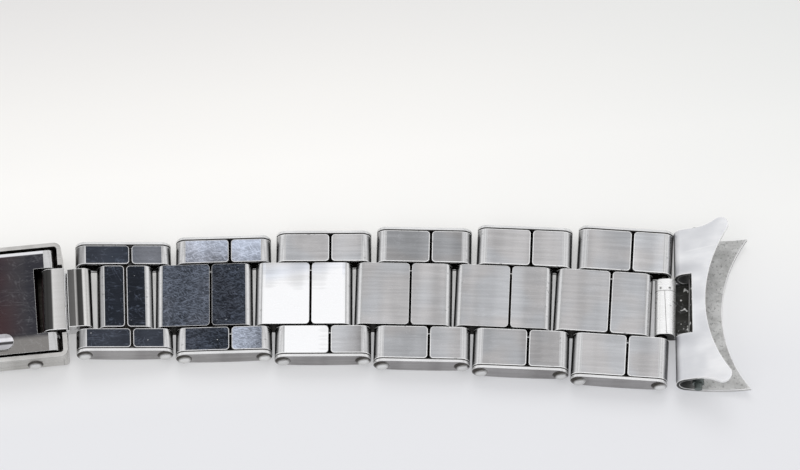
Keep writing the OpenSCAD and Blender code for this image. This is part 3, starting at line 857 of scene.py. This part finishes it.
# %% Dress the links
RIM = 0.09
SHADED_RIM_LINKS = (1, 2)  # the links whose rims get a painted shade
dressed = 0
for side, count in SIDES.items():
    for number in range(1, count + 1):
        middle = f"{side}_centre_link_{number}" if number > 1 else f"{side}_filler_link"
        for name in (f"{side}_outer_links_{number}", middle):
            rim = shaded_rim if number in SHADED_RIM_LINKS else rim_steel
            piece = softened(name, RIM, rolled_steel, rim, leaf_faces(number, name == middle))
            dressed += 1
        plates = f"{side}_side_plates_{number}"
        piece = softened(plates, RIM, plate_steel, plate_rim, plate_faces)
        dressed += 1
print("dressed pieces:", dressed)

# %% [markdown]
# ## The clasp, the short links and the end pieces
#
# These pieces have faces of several finishes. Each helper below walks over a piece's
# faces and sorts them by where they lie in the body's own axes.

# %% Sort the faces of the end pieces
FOLD_X, FOLD_Z, FOLD_INSIDE = -1.0, -0.1, 1.1
SHEET_HEIGHT = 2.0 * MM
LOOP_FLAT, LOOP_R, LOOP_NEAR = 0.6, 0.8, 0.1


def end_faces(work, mesh, local):
    """Raw steel inside the fold and on the outer sheet's inside, satin elsewhere."""
    mesh.materials.append(raw_steel)
    low = min(vertex.co.z for vertex in work.verts)
    for face in work.faces:
        if face.material_index != BODY:
            continue
        centre = face.calc_center_median()
        spot = local(centre)
        in_fold = math.hypot(spot.x - FOLD_X, spot.z - FOLD_Z) < FOLD_INSIDE
        on_sheet = face.normal.z > 0.2 and centre.z < low + SHEET_HEIGHT
        if in_fold or on_sheet:
            face.material_index = THIRD
        elif spot.x > FOLD_X and abs(face.normal.z) < 0.35:
            face.material_index = ROUNDED if spot.z > 0 else THIRD


def loop_faces(work, mesh, local):
    """The loop is bright where it is rolled; its valley and holes get a dark painted shade."""
    mesh.materials.append(valley_shade)
    for face in work.faces:
        centre = local(face.calc_center_median())
        beyond = centre.x - min(max(centre.x, 0.0), LOOP_FLAT)
        if abs(math.hypot(beyond, centre.z) - LOOP_R) > LOOP_NEAR:
            face.material_index = THIRD


print("end piece sorters ready")

# %% Sort the faces of the clasp and the connectors
EAR_START, BEAD_LEVEL, COVER_INSIDE = 16.1 * MM, 0.05 * MM, 2.4 * MM


def share_of(value, values):
    return (value - min(values)) / (max(values) - min(values))


def tube_faces(work, mesh, local):
    """The connector's wrist side, with the share of its length for its painted reflection
    bands.
    """
    mesh.materials.append(tube_steel)
    leaf = work.loops.layers.float.new("leaf")
    xs = [local(vertex.co).x for vertex in work.verts]
    ends = (min(xs), max(xs))
    for face in work.faces:
        if face.normal.z > 0.1:
            if face.material_index == BODY:
                face.material_index = THIRD
            for corner in face.loops:
                corner[leaf] = share_of(local(corner.vert.co).x, ends)


def blade_faces(work, mesh, local):
    """The rolled ears, and the bead with the share of its width for its painted highlight and
    shade.
    """
    for finish in (ear_steel, bead_steel):
        mesh.materials.append(finish)
    leaf = work.loops.layers.float.new("leaf")
    bmesh.ops.bisect_plane(work, geom=work.verts[:] + work.edges[:] + work.faces[:],
                           plane_co=(EAR_START, 0, 0), plane_no=(1, 0, 0))
    high = max(vertex.co.z for vertex in work.verts)
    for face in work.faces:
        centre = face.calc_center_median()
        if face.material_index != BODY:
            continue
        if centre.x > EAR_START and face.normal.z > 0:
            face.material_index = THIRD
        elif centre.z > high - BEAD_LEVEL:
            face.material_index = FOURTH
            ys = [vertex.co.y for vertex in face.verts]
            for corner in face.loops:
                corner[leaf] = share_of(corner.vert.co.y, ys)


def cover_faces(work, mesh, local):
    """The inside of the cover gets a dark painted shade."""
    mesh.materials.append(shaded_inside_steel)
    for face in work.faces:
        centre = face.calc_center_median()
        inward = face.normal.y * centre.y < 0 or face.normal.x * centre.x < 0
        inside = centre.z < COVER_INSIDE and (face.normal.z > 0.5 or inward)
        if face.material_index == BODY and inside:
            face.material_index = THIRD


print("clasp sorters ready")

# %% Dress the clasp, the short links and the end pieces
for side in SIDES:
    piece = softened(f"{side}_connector", 0.06, rolled_steel, rim_steel, tube_faces)
    piece = softened(f"{side}_end_loop", 0.05, loop_steel, rim_steel, loop_faces)
    piece = softened(f"{side}_end_link", 0.15, satin_steel, rim_steel, end_faces)
piece = softened("clasp_cover", 0.08, cover_steel, rim_steel, cover_faces)
piece = softened("inner_blade", 0.07, blade_steel, rim_steel, blade_faces)
piece = softened("middle_blade", 0.07, blade_steel, rim_steel)
print("clasp and end pieces dressed")

# %% [markdown]
# ## Pins, rivets and spring bars
#
# These solids already have the right shape, so they stay as they are and only get a
# material.

# %% Finish the pins, rivets and spring bars
for name, solid in frame["nodes"].items():
    if "rivet" in name or name.endswith("_pin"):
        finish = rivet_steel
    elif "spring_bar" in name:
        finish = bar_steel
    else:
        continue
    solid.data.materials.clear()
    solid.data.materials.append(finish)
print("pins and rivets finished")

# %% [markdown]
# ## The studio
#
# The floor is a large pale sheet with painted light and shade on it: a little darker in
# front and at its far edge, most of all in its far right corner. It glows slightly, but
# only for the camera and in reflections: that keeps the shadows pale and adds no light
# to the bracelet. Steel has almost no colour of its own: it shows the room. So the
# world is the real light here. The camera sees it as plain white, but reflections see
# a studio, bright above and darker in a belt near the horizon. That belt, with the
# painted shade on the rolls, draws the dark lines on the rolled ends.

# %% The floor
FLOOR_RADIUS, FLOOR_DROP = 1.6, 0.00012
FRONT_Y, FAR_Y = -0.03, 0.045
# FLOOR_SHADES and FAR_CORNER paint light and shade across the floor.
FLOOR_SHADES = ((0.0, (0.79, 0.795, 0.825, 1)), (1.0, (0.72, 0.71, 0.71, 1)),
                (0.22, (0.81, 0.815, 0.84, 1)), (0.45, (0.96, 0.955, 0.94, 1)),
                (0.60, (0.97, 0.96, 0.94, 1)), (0.72, (0.91, 0.90, 0.88, 1)))
FAR_CORNER, CORNER_SHARE = (0.72, 0.74, 0.74, 1), 0.6
GLOW_STRENGTH, MATT_SHARE = 0.4, 0.6


def set_stops(ramp, stops):
    """Colours for a ramp: its two own stops first, then as many new ones as needed."""
    for number, (position, colour) in enumerate(stops):
        stop = ramp.elements[number] if number < 2 else ramp.elements.new(position)
        stop.position, stop.color = position, colour


bpy.ops.mesh.primitive_circle_add(vertices=96, radius=FLOOR_RADIUS, fill_type="NGON",
                                  location=(0.04, 0, -FLOOR_DROP))
floor = bpy.context.object
floor.name = "floor"
paper = bpy.data.materials.new("pale_paper")
paper.use_nodes = True
tree = paper.node_tree
shader = tree.nodes["Principled BSDF"]
shader.inputs["Roughness"].default_value = 0.9
shader.inputs["Emission Strength"].default_value = GLOW_STRENGTH
place = node(tree, "SeparateXYZ", node(tree, "TexCoord").outputs["Object"]).outputs
depth = node(tree, "MapRange", place["Y"], FRONT_Y, FAR_Y, 0.0, 1.0).outputs[0]
shades = node(tree, "ValToRGB", depth)
set_stops(shades.color_ramp, FLOOR_SHADES)
corner_shade = maths(tree, "MULTIPLY", smooth_step(tree, place["X"], 0.0, 0.08),
                     smooth_step(tree, depth, 0.15, 0.75))
sheet_colour = blend_colour(tree, maths(tree, "MULTIPLY", corner_shade, CORNER_SHARE),
                            shades.outputs["Color"], FAR_CORNER)
ray = node(tree, "LightPath").outputs
shown = maths(tree, "MAXIMUM", ray["Is Camera Ray"],
              maths(tree, "MAXIMUM", ray["Is Glossy Ray"], ray["Is Transmission Ray"]))
glow = blend_colour(tree, shown, (0, 0, 0, 1), sheet_colour)
wire(tree, glow, shader.inputs["Emission Color"])
matt = scaled(tree, sheet_colour, (MATT_SHARE, MATT_SHARE, MATT_SHARE))
wire(tree, matt, shader.inputs["Base Color"])
floor.data.materials.append(paper)
print("floor radius", FLOOR_RADIUS, "m")

# %% The world
HORIZON, OVERHEAD = (0.60, 0.60, 0.62, 1), (0.98, 0.98, 1.0, 1)
BELT = ((0.10, 0.5), (0.22, 0.9), (0.52, 1.0), (0.66, 0.6), (0.80, 0.92))
FRONT_SHADE, FRONT_SHARE = (0.25, 0.25, 0.27, 1), 0.2
BACKDROP, BACKDROP_STRENGTH = (0.97, 0.97, 0.96, 1), 1.0
SOFT_STRENGTH, MIRRORED_STRENGTH = 0.8, 1.06

world = bpy.data.worlds.new("studio")
bpy.context.scene.world = world
world.use_nodes = True
tree = world.node_tree
tree.nodes.clear()
direction = node(tree, "SeparateXYZ", node(tree, "TexCoord").outputs["Generated"]).outputs
belt = node(tree, "ValToRGB", direction["Z"])
greys = [(position, (value, value, value * 1.01, 1)) for position, value in BELT]
set_stops(belt.color_ramp, [(0.0, HORIZON), (1.0, OVERHEAD)] + greys)
front = smooth_step(tree, maths(tree, "MULTIPLY", direction["Y"], -1.0), 0.1, 0.7)
studio = blend_colour(tree, maths(tree, "MULTIPLY", front, FRONT_SHARE),
                      belt.outputs["Color"], FRONT_SHADE)
ray = node(tree, "LightPath").outputs
seen = node(tree, "Background", BACKDROP, BACKDROP_STRENGTH).outputs[0]
soft = node(tree, "Background", (1.0, 1.0, 1.0, 1), SOFT_STRENGTH).outputs[0]
mirrored = node(tree, "Background", studio, MIRRORED_STRENGTH).outputs[0]
light = node(tree, "MixShader", ray["Is Glossy Ray"], soft, mirrored).outputs[0]
light = node(tree, "MixShader", ray["Is Camera Ray"], light, seen).outputs[0]
wire(tree, light, node(tree, "OutputWorld").inputs["Surface"])
print("world ready")

# %% [markdown]
# ## The lamps
#
# Two large soft boxes give the bracelet its shadow and a gentle direction. They are
# hidden from reflections, because a mirror image of a lamp would draw a hard white
# patch on the steel.

# %% The lamps
CENTRE = (0.05, 0, 0)


def softbox(name, place, size, power):
    lamp = bpy.data.objects.new(name, bpy.data.lights.new(name, "AREA"))
    lamp.data.size = size
    lamp.data.energy = power
    lamp.location = place
    aim = Vector(CENTRE) - Vector(place)
    lamp.rotation_euler = aim.to_track_quat("-Z", "Y").to_euler()
    lamp.visible_glossy = False
    bpy.context.scene.collection.objects.link(lamp)


softbox("key", (0.15, 0.75, 0.85), 0.6, 3.0)
softbox("fill", (-0.45, -0.55, 0.8), 0.8, 0.8)
